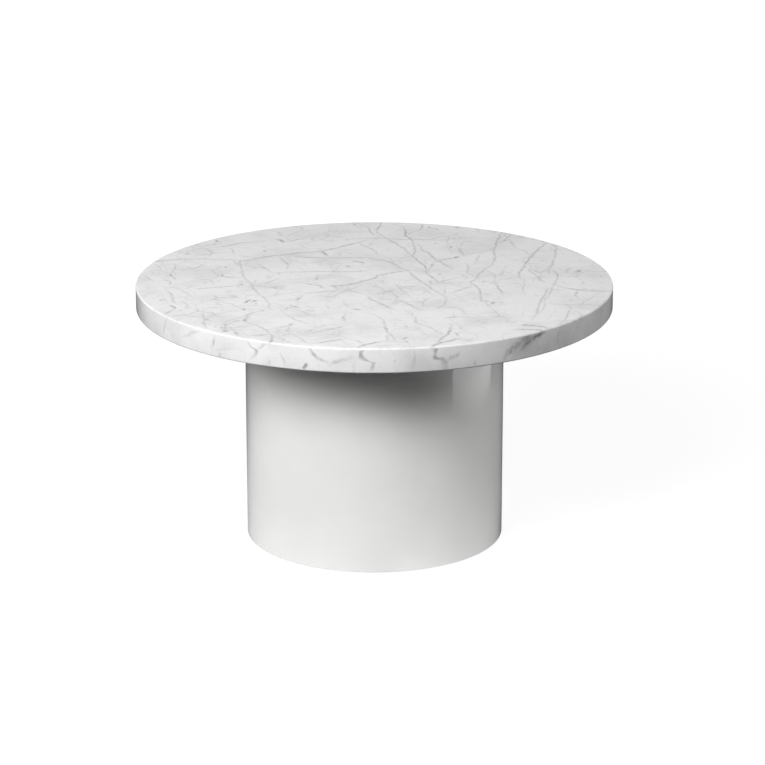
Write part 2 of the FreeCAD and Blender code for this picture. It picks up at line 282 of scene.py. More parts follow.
# Veins of the upper face: half width, darkness along the way, then points to the right and to the back
faceVeins = [
    # long steep veins, from the back to the front
    (1.5, (0.3, 0.8, 0.5, 0.45, 0.6, 0.6, 0.5),
     (34, 262), (37, 244), (39, 226), (39, 212), (41, 203), (44, 190), (46, 178), (46, 160), (49, 138),
     (49, 127), (46, 111), (48, 100), (51, 91), (55, 81), (59, 67), (61, 55), (64, 49), (60, 41),
     (63, 28), (69, 8), (73, -9)),
    (1.7, (0.6, 0.35, 0.5, 0.45, 0.35),
     (8, 274), (6, 252), (4, 235), (6, 221), (10, 208), (13, 198), (18, 187), (28, 163), (36, 141),
     (46, 112)),
    (1.8, (0.65, 0.3), (-27, 273), (-25, 261), (-22, 253), (-19, 245)),
    (1.6, (0.25, 0.5, 0.3), (-13, 262), (-7, 245), (-4, 227), (0, 215), (5, 204), (12, 195)),
    (1.9, (0.35, 0.35, 0.2), (-18, 172), (-13, 160), (-7, 148), (-1, 135), (3, 124), (6, 108)),
    (2.2, (0.4, 0.45, 0.4, 0.35, 0.35, 0.3),
     (39, 43), (42, 33), (45, 22), (49, 10), (52, 0), (60, -21), (69, -43), (78, -64), (80, -78),
     (80, -91), (78, -104), (74, -113), (69, -122), (61, -127), (52, -131)),
    (1.6, (0.3,), (52, -22), (56, -34), (60, -46), (65, -57), (71, -67)),
    (1.8, (0.3, 0.4, 0.5, 0.45, 0.45),
     (47, 172), (54, 152), (58, 137), (63, 127), (67, 117), (70, 106), (73, 96), (77, 88), (83, 77),
     (87, 66), (94, 47)),
    (2.2, (0.6, 0.35, 0.35, 0.5), (96, 103), (88, 97), (80, 89), (73, 82), (70, 70), (67, 58), (64, 50)),
    (1.6, (0.3, 0.2, 0.5, 0.5),
     (110, 185), (107, 172), (104, 150), (103, 140), (104, 130), (106, 118), (106, 104)),
    (1.7, (0.65, 0.5, 0.45, 0.45, 0.45, 0.45, 0.5, 0.3),
     (156, 226), (154, 210), (153, 200), (150, 190), (148, 178), (147, 165), (144, 140), (142, 116),
     (143, 104), (139, 80), (137, 70), (130, 50), (122, 25), (119, 14), (113, -6), (117, -24), (121, -42),
     (120, -62), (120, -78), (125, -97), (131, -120), (135, -131)),
    (1.8, (0.5, 0.45), (172, 218), (163, 202), (160, 192), (152, 172), (148, 163)),
    (1.6, (0.35, 0.3, 0.3),
     (162, 200), (163, 186), (165, 167), (167, 154), (171, 144), (177, 138), (181, 124), (185, 110)),
    (1.7, (0.4,), (146, 152), (141, 143), (137, 133)),
    (1.8, (0.5, 0.6, 0.6, 0.55, 0.35),
     (213, 176), (205, 165), (197, 146), (193, 134), (187, 115), (183, 96), (178, 72), (171, 46),
     (168, 26), (170, -3)),
    (1.5, (0.25,), (173, 15), (172, -5), (173, -18), (171, -36), (171, -66)),
    (1.7, (0.45, 0.45, 0.4),
     (221, 163), (219, 148), (216, 128), (216, 114), (212, 92), (207, 65), (202, 44), (201, 26)),
    (1.6, (0.65, 0.45, 0.45, 0.45, 0.3),
     (208, 47), (210, 36), (213, 21), (210, 0), (204, -26), (199, -55), (193, -76), (190, -96),
     (190, -110)),
    (1.7, (0.35,),
     (199, -28), (193, -58), (189, -74), (183, -108), (180, -138), (177, -154), (172, -168)),
    (2.2, (0.35, 0.45, 0.3), (181, 56), (181, 45), (184, 32), (187, 17), (194, -5), (199, -17)),
    (1.6, (0.3, 0.5), (137, 8), (140, -10), (142, -26), (144, -40), (145, -64)),
    (1.6, (0.35, 0.25), (125, 118), (123, 106), (119, 80), (116, 64)),
    (1.6, (0.25, 0.35), (107, 82), (109, 64), (110, 46), (108, 36), (112, 26), (118, 15)),
    (1.5, (0.55, 0.3), (59, 268), (58, 250), (57, 238), (60, 222)),
    (1.5, (0.35,), (101, 228), (99, 215), (98, 203)),
    # the left side
    (1.8, (0.5, 0.4, 0.35, 0.35, 0.45, 0.45, 0.35, 0.3),
     (-158, 95), (-158, 66), (-154, 34), (-152, 16), (-149, 3), (-140, -20), (-137, -36), (-132, -52),
     (-123, -80), (-119, -104), (-116, -116), (-111, -125), (-104, -127)),
    (1.9, (0.4,), (-105, -126), (-99, -119), (-94, -109)),
    (1.7, (0.4,), (-168, 97), (-164, 82), (-161, 70), (-158, 57)),
    (1.6, (0.4, 0.5, 0.3), (-173, 153), (-171, 140), (-169, 128), (-168, 113)),
    (2.2, (0.25,), (-140, 85), (-135, 68), (-129, 55), (-118, 32)),
    (1.8, (0.3, 0.4), (-117, 113), (-110, 100), (-106, 84), (-102, 70), (-102, 48)),
    (1.7, (0.25, 0.5), (-125, 241), (-120, 228), (-116, 216), (-112, 203)),
    (1.7, (0.35,), (-108, 200), (-104, 190), (-99, 180)),
    (1.7, (0.25,), (-96, 174), (-90, 163), (-85, 152), (-77, 138)),
    (1.9, (0.4, 0.4, 0.25), (-260, 76), (-254, 62), (-252, 50), (-252, 34)),
    (1.5, (0.35, 0.3, 0.6), (-234, 77), (-234, 58), (-236, 22), (-233, 14), (-230, 5)),
    (1.6, (0.35, 0.6), (-242, 4), (-237, -2), (-236, -10), (-235, -19)),
    (1.8, (0.35,), (-272, 30), (-264, 15), (-252, -8)),
    (1.8, (0.2, 0.45, 0.35, 0.45, 0.3),
     (-241, -32), (-234, -48), (-229, -60), (-228, -70), (-225, -88), (-218, -106)),
    (2.2, (0.2,), (-241, -19), (-231, -29), (-222, -39), (-209, -64), (-203, -80)),
    (1.9, (0.35,), (-219, -80), (-212, -93), (-208, -106), (-206, -120)),
    # soft bands that wander across
    (2.4, (0.62, 0.49, 0.37, 0.37, 0.62, 0.62, 0.49, 0.56, 0.49),
     (-272, 74), (-258, 85), (-240, 93), (-220, 97), (-190, 95), (-160, 91), (-149, 92), (-136, 102),
     (-115, 114), (-103, 118), (-90, 126), (-66, 133), (-48, 145), (-28, 165), (-20, 172), (-6, 190)),
    (2.0, (0.31, 0.43, 0.31), (-202, 145), (-178, 158), (-168, 167), (-155, 175), (-130, 178)),
    (2.0, (0.42,), (-113, 175), (-100, 182), (-90, 189), (-76, 201)),
    (2.6, (0.26,), (-40, 188), (0, 194), (40, 188), (104, 187)),
    (2.0, (0.67, 0.37, 0.37, 0.43, 0.55),
     (-94, 109), (-80, 104), (-40, 103), (-5, 99), (5, 92), (14, 86), (21, 79), (29, 58), (40, 42)),
    (2.1, (0.32, 0.45, 0.45), (-122, 33), (-100, 37), (-50, 41), (-28, 41), (-6, 43)),
    (1.9, (0.45, 0.56, 0.33), (-200, 73), (-203, 65), (-209, 56), (-224, 44)),
    (1.8, (0.37,), (-192, 65), (-180, 63), (-166, 54)),
    (1.8, (0.3, 0.59, 0.41), (-184, 37), (-175, 21), (-168, 16), (-146, 9)),
    (1.9, (0.37, 0.5, 0.44), (-210, -36), (-190, -31), (-166, -25), (-147, -13)),
    (1.7, (0.44,), (-107, 12), (-114, 6), (-120, -1), (-130, -18)),
    (1.7, (0.45, 0.57), (-91, -2), (-81, -10), (-71, -16), (-63, -20), (-58, -36)),
    (2.1, (0.59, 0.59, 0.59, 0.59, 0.65, 0.76),
     (40, 45), (29, 40), (12, 28), (6, 23), (2, 14), (0, 8), (-7, 3), (-15, -4), (-22, -12), (-30, -17),
     (-49, -23)),
    (2.0, (0.25, 0.4, 0.65, 0.4), (-88, -104), (-87, -84), (-84, -68), (-79, -56)),
    (1.7, (0.58, 0.45, 0.38, 0.45),
     (-81, -59), (-72, -54), (-50, -44), (-38, -44), (-27, -46), (-9, -61)),
    (2.7, (0.4, 0.4, 0.55, 0.2),
     (-11, -59), (-7, -70), (-2, -81), (5, -92), (11, -104), (16, -115), (31, -131)),
    (1.6, (0.31,), (-122, -83), (-105, -85), (-92, -79), (-84, -68)),
    (2.1, (0.41,), (-11, -61), (0, -58), (9, -53), (23, -40), (28, -30)),
    (1.8, (0.25, 0.5, 0.25, 0.2), (19, -6), (23, -14), (28, -32), (36, -54), (46, -82)),
    (1.9, (0.57, 0.44), (25, -31), (36, -28), (56, -23)),
    (2.1, (0.29,), (54, -24), (70, -13), (76, -4), (92, 9), (109, 25)),
    (1.9, (0.4,), (119, -19), (110, -27), (97, -43), (83, -57)),
    (2.0, (0.3,), (15, -43), (21, -55), (28, -78), (25, -88), (17, -108)),
    (2.3, (0.4,), (27, -77), (34, -91), (48, -117), (57, -128)),
    (1.5, (0.35,), (82, -32), (81, -48), (80, -64)),
    (1.8, (0.2,), (87, -48), (92, -60), (101, -90)),
    (3.0, (0.24, 0.43, 0.61, 0.61),
     (198, -8), (207, -19), (224, -36), (234, -41), (246, -44), (274, -46)),
    (1.7, (0.55, 0.25), (232, -41), (228, -61), (231, -72), (235, -88)),
    (2.8, (0.4, 0.3), (234, 63), (228, 54), (224, 26)),
    (2.8, (0.5, 0.3), (242, 49), (236, 38), (227, 24)),
    (1.7, (0.24,), (137, 3), (150, 5), (158, 14), (166, 24)),
    # the net of cells near the front
    (2.3, (0.55, 0.55, 0.65, 0.4, 0.5, 0.5, 0.5, 0.7, 0.6),
     (-122, -120), (-130, -131), (-138, -137), (-142, -150), (-144, -164), (-141, -174), (-125, -192),
     (-113, -214), (-110, -226), (-110, -238), (-115, -262)),
    (2.0, (0.45,), (-145, -166), (-153, -170), (-163, -187), (-165, -198), (-169, -218)),
    (2.3, (0.2, 0.35, 0.4), (-103, -130), (-98, -143), (-87, -162), (-73, -177)),
    (1.9, (0.45,), (-86, -169), (-92, -181), (-98, -188), (-117, -201)),
    (2.0, (0.45, 0.35, 0.3, 0.4),
     (-93, -181), (-95, -197), (-94, -210), (-90, -219), (-81, -238), (-76, -247), (-68, -252)),
    (1.9, (0.38, 0.57, 0.77, 0.57),
     (-82, -250), (-66, -252), (-42, -243), (-36, -241), (-32, -247), (-25, -257)),
    (2.3, (0.94, 0.76, 0.59, 0.41), (-19, -274), (-12, -263), (-4, -255), (5, -249), (24, -241)),
    (1.6, (0.25, 0.5, 0.65, 0.3), (-30, -124), (-32, -142), (-32, -168), (-31, -183)),
    (1.7, (0.3, 0.67, 0.49, 0.37),
     (-16, -191), (-34, -188), (-41, -194), (-50, -201), (-60, -207), (-79, -224)),
    (1.5, (0.28,), (-61, -179), (-53, -187), (-45, -195)),
    (1.8, (0.25,), (-43, -200), (-44, -216), (-42, -232)),
    (1.7, (0.25,), (-36, -78), (-34, -95), (-31, -108), (-25, -119)),
    (2.0, (0.25, 0.35, 0.35, 0.65, 0.4, 0.35),
     (-10, -134), (0, -145), (10, -165), (12, -180), (12, -195), (14, -217), (18, -227), (24, -248)),
    (1.8, (0.5, 0.4, 0.5, 0.35), (46, -144), (46, -170), (49, -180), (55, -187), (65, -204), (74, -226)),
    (1.7, (0.35,), (35, -181), (36, -194), (39, -204)),
    (1.8, (0.25,), (43, -188), (49, -203), (55, -215)),
    (2.0, (0.35, 0.35, 0.2), (33, -119), (38, -131), (43, -139), (39, -148), (33, -160)),
    (2.1, (0.35, 0.5, 0.8, 0.55, 0.45), (83, -174), (83, -201), (81, -211), (72, -238), (65, -260)),
    (1.9, (0.6,), (85, -210), (89, -222), (91, -231)),
    (2.5, (0.5, 0.78, 0.73, 0.95), (99, -226), (91, -237), (76, -249), (70, -254), (60, -271)),
    (2.7, (0.42, 0.59, 0.48), (69, -160), (79, -156), (86, -154), (92, -144)),
    (1.8, (0.4,), (93, -181), (93, -195), (97, -210)),
    (1.8, (0.3,), (97, -114), (101, -128), (101, -137), (97, -149)),
    (1.7, (0.33,), (119, -158), (113, -170), (104, -180)),
    (2.5, (0.43, 0.95, 0.74, 0.61), (150, -177), (158, -183), (167, -184), (182, -190), (196, -199)),
    (2.3, (0.38, 0.77, 0.77), (138, -209), (152, -204), (163, -202), (172, -203), (188, -208)),
    (1.6, (0.4, 0.5, 0.4), (219, -120), (217, -132), (214, -146), (209, -180)),
    (1.9, (0.45,), (-222, -115), (-227, -127), (-236, -146)),
    (1.6, (0.25, 0.35, 0.5, 0.4), (-190, -112), (-190, -148), (-187, -160), (-188, -172), (-184, -200)),
    (1.8, (0.3,), (-180, -86), (-176, -98), (-172, -108)),
    (1.8, (0.4,), (-186, -122), (-180, -138), (-174, -148), (-156, -153)),
    (1.8, (0.23,), (-162, -105), (-145, -104), (-116, -111)),
    (2.1, (0.51,), (-142, -230), (-128, -224), (-106, -221)),
    (1.8, (0.25,), (-104, -201), (-105, -214), (-97, -240)),
    (1.9, (0.6,), (-157, -206), (-152, -216), (-148, -228)),
    # short dark strokes
    (2.0, (0.9, 1.0), (-118, 193), (-113, 183), (-109, 171)),
    (2.6, (0.9,), (-64, 138), (-60, 124), (-54, 110)),
    (2.1, (0.76,), (-28, 90), (-19, 85), (-14, 78), (-14, 70)),
    (2.2, (0.6,), (66, 252), (70, 243), (75, 239), (80, 230)),
    (1.9, (0.95,), (-141, -78), (-144, -88), (-147, -98)),
    (1.9, (1.0,), (-231, -102), (-226, -109), (-222, -119)),
    (1.7, (0.95,), (-97, -100), (-91, -109), (-83, -119)),
    # faint links between the others
    (1.4, (0.22,), (103, 28), (106, 12), (108, 0)),
    (1.7, (0.4,), (-46, -22), (-44, -32), (-43, -42)),
    (1.6, (0.35,), (-33, -20), (-30, -27), (-27, -37)),
    (1.6, (0.35,), (-63, 30), (-65, 18), (-68, 5)),
    (2.4, (0.33,), (-40, -24), (-28, -42), (-20, -48), (-10, -61)),
    (1.5, (0.4,), (-46, 54), (-48, 42), (-49, 33)),
    (1.4, (0.22,), (-53, 82), (-51, 60), (-49, 45)),
    (1.4, (0.22,), (-8, 40), (-5, 30), (-2, 20), (0, 10)),
    (1.4, (0.2,), (0, 8), (5, -2), (10, -15), (14, -30)),
    (1.9, (0.38,), (-154, -4), (-152, -17), (-157, -30)),
    (1.5, (0.4,), (-138, 7), (-138, -5), (-139, -16)),
    (2.0, (0.28,), (-20, -240), (-15, -250), (-10, -259)),
    (1.9, (0.26,), (-4, -263), (10, -262), (24, -262)),
    (2.0, (0.28,), (13, -161), (25, -164), (37, -167)),
    (2.4, (0.31,), (92, -149), (103, -153), (116, -160)),
    (1.9, (0.23,), (104, -216), (120, -213), (136, -211)),
    (1.8, (0.27,), (-164, 117), (-155, 109), (-143, 107)),
    (1.5, (0.2,), (-43, 140), (-40, 120), (-37, 105)),
    (1.5, (0.2,), (-36, 137), (-28, 122), (-20, 110)),
    (1.8, (0.25,), (153, 99), (165, 94), (177, 89)),
    (1.4, (0.2,), (194, 100), (199, 88), (203, 76)),
    (2.2, (0.22,), (155, 39), (160, 30), (164, 20)),
]

# Dark flecks: place, half length, half width, the way the long side points, darkness
faceFlecks = [
    (-192, 182, 5, 2.4, 90, 0.9), (-225, 122, 4, 3.4, 0, 0.75), (-131, 134, 4.5, 2.4, 105, 0.75),
    (-132, 155, 4, 2.2, 90, 0.35), (-155, 148, 4, 3, 0, 0.25), (-42, 217, 4, 3, 20, 0.4),
    (-106, 207, 4, 2, 90, 0.4), (-32, 65, 5, 3.2, 100, 0.6), (97, 104, 5.5, 3.6, 75, 1.3),
    (97, 194, 4, 3, 60, 0.75), (104, 195, 4, 2.5, 90, 0.5), (92, 153, 6.5, 1.8, 95, 0.75),
    (128, 235, 4, 3, 0, 0.55), (147, 224, 4, 3, 0, 0.5), (-209, 56, 4, 3, 40, 0.7),
    (-175, 61, 5, 2.2, 95, 0.7), (-175, 24, 6.5, 2, 98, 1.0), (-113, -32, 6.5, 2, 110, 0.8),
    (-46, -22, 5, 4.2, 0, 0.9), (-67, 8, 4, 2.6, 90, 0.75), (39, 44, 4.5, 2.6, 90, 0.65),
    (-136, -87, 5, 3.4, 70, 0.8), (-133, -98, 5, 1.6, 90, 0.55), (-161, -69, 5, 3, 90, 0.5),
    (-166, -48, 7, 4, 60, 0.35), (-239, -83, 5, 2.2, 110, 0.55), (-72, -127, 7, 3, 0, 0.6),
    (-20, -121, 5, 4, 0, 0.75), (-52, -113, 5.5, 1.8, 95, 0.6), (-197, -122, 4.5, 2.6, 110, 0.55),
    (-146, -120, 6.5, 2.2, 95, 0.75), (-123, -125, 5, 2, 80, 0.65), (-186, -163, 5, 2.4, 80, 0.6),
    (-164, -207, 4.5, 3.2, 60, 0.85), (-150, -219, 4.5, 2.6, 90, 0.7), (-175, -191, 4, 2, 100, 0.5),
    (-168, -193, 4, 2.6, 90, 0.45), (-93, -182, 4.5, 3, 90, 0.85), (34, -237, 6, 2.4, 70, 0.9),
    (35, -249, 5, 1.8, 105, 0.7), (81, -209, 7, 2.6, 75, 1.0), (238, 42, 5.5, 3, 85, 1.2),
    (265, 18, 6, 1.8, 95, 0.6), (133, -96, 6, 2.6, 75, 1.0), (127, -4, 4, 2.6, 90, 0.6),
    (147, 25, 5, 2, 80, 0.4), (76, 28, 5, 3, 90, 0.5), (166, -184, 5, 4.5, 0, 1.0),
    (-11, -261, 5.5, 4, 30, 0.75), (-199, -33, 5, 2, 80, 0.55), (-153, -6, 4.5, 2.8, 90, 0.5),
    (-152, -17, 4.5, 2.8, 90, 0.55), (-156, -26, 5, 1.8, 90, 0.4), (-141, 56, 5, 3, 90, 0.3),
    (-224, 45, 4.5, 2.6, 90, 0.4), (-95, 37, 5, 2, 90, 0.35), (-48, 43, 7, 1.7, 80, 0.55),
    (-16, 43, 4, 2.2, 60, 0.4), (-61, -27, 5, 1.6, 100, 0.6), (-43, -37, 5.5, 1.6, 105, 0.55),
    (-28, -35, 5, 1.5, 110, 0.45), (10, 22, 5, 2.6, 90, 0.4), (21, 81, 4, 2.6, 80, 0.55),
    (63, 74, 7, 3, 90, 0.35), (103, 25, 5, 1.9, 95, 0.45), (123, 111, 5, 1.7, 90, 0.45),
    (189, 41, 5, 2.6, 90, 0.3), (205, 177, 5, 2, 90, 0.55), (218, -8, 6, 1.4, 90, 0.4),
    (222, -86, 6, 3, 90, 0.35), (217, -130, 5, 2, 90, 0.5), (-52, -86, 5, 3.6, 90, 0.35),
    (78, -157, 5, 3, 20, 0.4), (89, -152, 6, 3, 75, 0.5), (-231, 9, 6, 2, 110, 0.7),
    (-240, 1, 4, 2.6, 0, 0.4), (-192, 168, 6, 2.5, 90, 0.35), (-194, 135, 5, 4, 90, 0.22),
    (-217, 150, 5, 3, 90, 0.35), (-91, 107, 8, 4, 90, 0.4), (-34, 188, 4, 2.5, 90, 0.4),
    (-75, 190, 5, 2.5, 90, 0.3), (68, 247, 5, 2.6, 100, 0.6), (73, 170, 4, 2.5, 90, 0.4),
    (102, 247, 6, 4, 90, 0.5), (217, 157, 7, 3, 90, 0.55), (80, 15, 6, 2.5, 90, 0.25),
    (76, 88, 6, 4, 90, 0.35), (-240, 16, 4, 4, 0, 0.35), (-203, 68, 5, 3, 90, 0.35),
    (-168, 16, 4, 3, 90, 0.4), (-196, -8, 6, 2.5, 90, 0.25), (-124, 18, 5, 3, 90, 0.3),
    (-110, 30, 6, 2.5, 90, 0.3), (239, -12, 6, 2, 90, 0.35), (133, 22, 5, 2.5, 90, 0.25),
    (184, -64, 5, 3, 90, 0.3), (128, -58, 5, 5, 0, 0.22), (127, -88, 6, 2.5, 90, 0.4),
    (143, -95, 6, 4, 90, 0.28), (90, -10, 5, 2.5, 90, 0.3), (-210, -113, 7, 4, 90, 0.35),
    (-218, -125, 4, 3, 90, 0.35), (-176, -116, 5, 2.5, 90, 0.3), (-169, -125, 5, 2.5, 90, 0.3),
    (-142, -150, 8, 2.2, 95, 0.6), (-152, -168, 5, 3.2, 60, 0.5), (-110, -236, 9, 2.2, 90, 0.55),
    (-76, -175, 4, 3, 90, 0.45), (-104, -210, 6, 2.2, 90, 0.3), (-75, -110, 4, 2.5, 90, 0.3),
    (-70, -114, 4, 3, 90, 0.3), (13, -200, 7, 2.2, 90, 0.5), (57, -155, 6, 2, 90, 0.3),
    (57, -75, 4, 3, 90, 0.3), (12, -106, 6, 3, 110, 0.45), (-38, -192, 5, 3, 45, 0.45),
    (53, -186, 5, 3, 130, 0.4), (101, -130, 8, 2.2, 90, 0.35),
]

# Veins of the rim: the same, in degrees to the right of the front and millimetres below the upper face
rimVeins = [
    (1.5, (0.5, 0.55, 0.4), (-30.5, 0), (-29.6, 7), (-27.9, 11.5), (-28.6, 18), (-30.3, 26)),
    (1.4, (0.35,), (-24.3, 0), (-26.4, 6), (-27.9, 12)),
    (1.4, (0.5, 0.45, 0.35),
     (-15.6, 0), (-14.4, 5), (-13.7, 10), (-12.5, 13.5), (-10.2, 18.5), (-9.8, 27)),
    (1.4, (0.25, 0.4), (-3.6, 9), (-7, 13.5), (-10.4, 19)),
    (1.5, (0.7, 0.6, 0.5, 0.5),
     (-1.6, 0), (-2.9, 5), (-2.7, 10), (-1.9, 14), (-0.3, 17), (-0.5, 21), (-1.4, 28)),
    (1.9, (0.8, 0.6, 0.5, 0.6), (13, 0), (13.8, 5), (13.5, 10.5), (15.4, 14), (15.9, 20), (16.3, 28)),
    (1.6, (0.35, 0.4), (19.4, 3), (19, 10), (17.6, 14), (16.2, 20)),
    (2.6, (0.8, 0.7, 0.9, 0.8, 0.7),
     (39.6, 0), (38, 4), (36, 8), (34.2, 12.5), (32.4, 16), (31, 21), (30.4, 28)),
    (2.6, (0.9, 0.6, 0.8, 0.6), (42.4, 0), (40.6, 5), (37.4, 11), (35.8, 16), (35, 21), (34.8, 28)),
    (5.0, (0.45, 0.55, 0.45), (41, 0), (38, 8), (33.5, 16), (32.5, 28)),
    (1.3, (0.3,), (-43.6, 0), (-45.6, 6), (-48, 11), (-51, 16)),
    (1.2, (0.3, 0.4, 0.3), (-39.2, 0), (-39.8, 12), (-40.2, 24)),
    (1.2, (0.3,), (-57.4, 2), (-57.9, 12), (-58.6, 24)),
    (1.1, (0.25,), (-24, 20), (-25, 28)),
    (1.4, (0.9,), (-15.3, 19), (-15.8, 23), (-16.4, 28)),
    (1.2, (0.35,), (-37.6, 21), (-37.8, 28)),
    (1.0, (0.25,), (-22, 9), (-21, 18), (-20, 28)),
    (1.0, (0.25,), (8.6, 0), (9.2, 14), (8, 28)),
    (1.2, (0.3,), (5, 12), (4.4, 18)),
    (1.2, (0.5,), (68.6, 5), (69, 13)),
    (1.3, (0.3,), (49, 3), (46.8, 14), (48, 25)),
    (1.1, (0.25,), (54, 8), (52.5, 26)),
    (1.3, (0.3,), (23, 20), (23.4, 28)),
]


def floatCurve(tree, value, points):
    node = addNode(tree, "ShaderNodeFloatCurve")
    feed(tree, value, node.inputs["Value"])
    node.mapping.use_clip = False
    node.mapping.extend = "HORIZONTAL"
    curve = node.mapping.curves[0].points
    curve[0].location, curve[1].location = points[0], points[-1]
    for point in points[1:-1]:
        curve.new(*point)
    node.mapping.update()
    return node.outputs["Value"]


def drawVein(tree, place, darkest, halfWidth, darkness, points):
    # place is (x, y, 1): one product gives the share of the way along the vein, another the step to its side
    start, end = Vector(points[0]), Vector(points[-1])
    length = (end - start).length
    along = (end - start) / length
    across = Vector((-along.y, along.x))
    shares = [(Vector(point) - start).dot(along) / length for point in points]
    bends = [(Vector(point) - start).dot(across) / length for point in points]
    share = vectorMaths(tree, "DOT_PRODUCT", place, (*(along / length), -start.dot(along) / length))
    side = vectorMaths(tree, "DOT_PRODUCT", place, (*(across / length), -start.dot(across) / length))
    bend = floatCurve(tree, share, list(zip(shares, bends)))
    taperLength, taperMost = marble["taper"]
    taper = min(taperLength / length, taperMost)
    levels = [level ** (1 / marble["halo"]) for level in darkness]
    if len(levels) == 1:
        levels *= 2
    steps = len(levels) - 1
    fade = [(taper + (1 - 2 * taper) * i / steps, level) for i, level in enumerate(levels)]
    strength = floatCurve(tree, share, [(0, 0), *fade, (1, 0)])
    apart = maths(tree, "SUBTRACT", side, bend)
    reach = halfWidth * marble["spread"] / length
    line = maths(tree, "MULTIPLY_ADD", maths(tree, "MULTIPLY", apart, apart), -1 / reach ** 2, 1.0)
    return maths(tree, "MAXIMUM", darkest, maths(tree, "MULTIPLY", line, strength))


def drawFleck(tree, place, darkest, x, y, halfLength, halfWidth, turn, darkness):
    along = Vector((math.cos(math.radians(turn)), math.sin(math.radians(turn))))
    across = Vector((-along.y, along.x))
    away = 0.0
    for axis, half in ((along, halfLength), (across, halfWidth)):
        reach = half * marble["fleckSpread"]
        step = vectorMaths(tree, "DOT_PRODUCT", place, (*(axis / reach), -Vector((x, y)).dot(axis) / reach))
        away = maths(tree, "MULTIPLY_ADD", step, step, away)
    level = darkness ** (1 / marble["halo"])
    return maths(tree, "MAXIMUM", darkest, maths(tree, "MULTIPLY_ADD", away, -level, level))


def drawAll(tree, place, name, draw, shapes):
    # in groups of a few, since one large tree is slow to build; gives the darkest of them at each point
    darkest = 0.0
    for first in range(0, len(shapes), marble["perGroup"]):
        group = bpy.data.node_groups.new(name, "ShaderNodeTree")
        group.interface.new_socket("Place", in_out="INPUT", socket_type="NodeSocketVector")
        group.interface.new_socket("Darkness", in_out="OUTPUT", socket_type="NodeSocketFloat")
        groupPlace = addNode(group, "NodeGroupInput").outputs[0]
        level = 0.0
        for shape in shapes[first:first + marble["perGroup"]]:
            level = draw(group, groupPlace, level, *shape)
        group.links.new(level, addNode(group, "NodeGroupOutput").inputs[0])
        drawn = addNode(tree, "ShaderNodeGroup", node_tree=group)
        tree.links.new(place, drawn.inputs[0])
        darkest = maths(tree, "MAXIMUM", drawn.outputs[0], darkest)
    return darkest


def onPlane(tree, x, y):
    node = addNode(tree, "ShaderNodeCombineXYZ")
    feed(tree, x, node.inputs["X"])
    feed(tree, y, node.inputs["Y"])
    node.inputs["Z"].default_value = 1.0
    return node.outputs["Vector"]


def wander(tree, place, wiggle):
    # pushes the coordinates about a little, so that no vein is a drawn line
    for scale, reach in wiggle:
        push = noise(tree, place, scale, *marble["wiggleNoise"], "Color")
        push = vectorMaths(tree, "SUBTRACT", push, (0.5, 0.5, 0.5))
        push = vectorMaths(tree, "MULTIPLY", push, (2 * reach, 2 * reach, 2 * reach))
        place = vectorMaths(tree, "ADD", place, push)
    return place


def hairlines(tree, place, scale, width, amount):
    # faint net of healed cracks, broken up so that only stretches of it show
    cells = addNode(tree, "ShaderNodeTexVoronoi", feature="DISTANCE_TO_EDGE")
    feed(tree, place, cells.inputs["Vector"])
    cells.inputs["Scale"].default_value = scale
    line = remap(tree, cells.outputs["Distance"], 0.0, width * scale, 1.0, 0.0)
    breaks, detail = marble["netBreaks"]
    broken = noise(tree, place, scale * breaks, detail)
    return maths(tree, "MULTIPLY", line, remap(tree, broken, *marble["netShown"], 0.0, amount))


def stoneShader(tree, place, darkness, finish):
    # place is in millimetres and solid, darkness is that of the drawn veins
    darkness = maths(tree, "POWER", darkness, marble["halo"])
    strayed = wander(tree, place, marble["netWiggle"])
    for scale, width, amount in marble["net"]:
        lines = hairlines(tree, strayed, scale, width, amount * finish["net"])
        darkness = maths(tree, "MAXIMUM", darkness, lines)
    darkness = maths(tree, "MULTIPLY", darkness, mottle(tree, place, marble["patches"]))
    darkness = maths(tree, "ADD", darkness, mottle(tree, place, marble["grain"]))
    darkness = maths(tree, "MINIMUM", darkness, 1.0)
    stone = mixColour(tree, mottle(tree, strayed, marble["clouds"]), marble["white"], marble["shade"])
    colour = mixColour(tree, darkness, stone, marble["vein"])
    worn = maths(tree, "ADD", darkness, noise(tree, place, *marble["wear"]))
    roughness = remap(tree, worn, *marble["wearReach"], *finish["polish"])
    finishShader(tree, colour, roughness, bumps(tree, place, *marble["pits"]), ior=finish["ior"])


def marbleFaces(top, bottom):
    material, tree = newTree("polishedMarbleFaces")
    place = millimetres(tree)
    strayed = separate(tree, wander(tree, place, marble["wiggle"]))
    # the veins lean, so a little lower in the stone they lie further on
    thickness = top - bottom
    height = separate(tree, place)["Z"]
    depth = maths(tree, "MULTIPLY_ADD", height, -1 / thickness, top / thickness)
    x, y = [maths(tree, "MULTIPLY_ADD", depth, shift, strayed[axis])
            for shift, axis in zip(marble["dip"], "XY")]
    flat = onPlane(tree, x, y)
    veins = [(halfWidth, darkness, points) for halfWidth, darkness, *points in faceVeins]
    darkest = maths(tree, "MAXIMUM", drawAll(tree, flat, "faceVeins", drawVein, veins),
                    drawAll(tree, flat, "faceFlecks", drawFleck, faceFlecks))
    darkest = maths(tree, "MULTIPLY", darkest, remap(tree, y, *marble["darkerBack"]))
    stoneShader(tree, place, darkest, marble["faces"])
    return material


# Veins of the upper face that reach its edge at the sides and the back carry on down the rim
runOut = {
    "near": 12.0,  # millimetres from the edge
    "front": 60.0,  # degrees to each side, where the rim has veins of its own
    "lean": 5.0,  # degrees at most
    "fade": 0.8,
    "steps": ((0.0, 0), (0.4, 8), (0.2, 17), (0.9, 28)),  # share of the lean, and millimetres down
}


def bearing(point):
    # degrees to the right of the front
    return math.degrees(math.atan2(point[0], -point[1]))


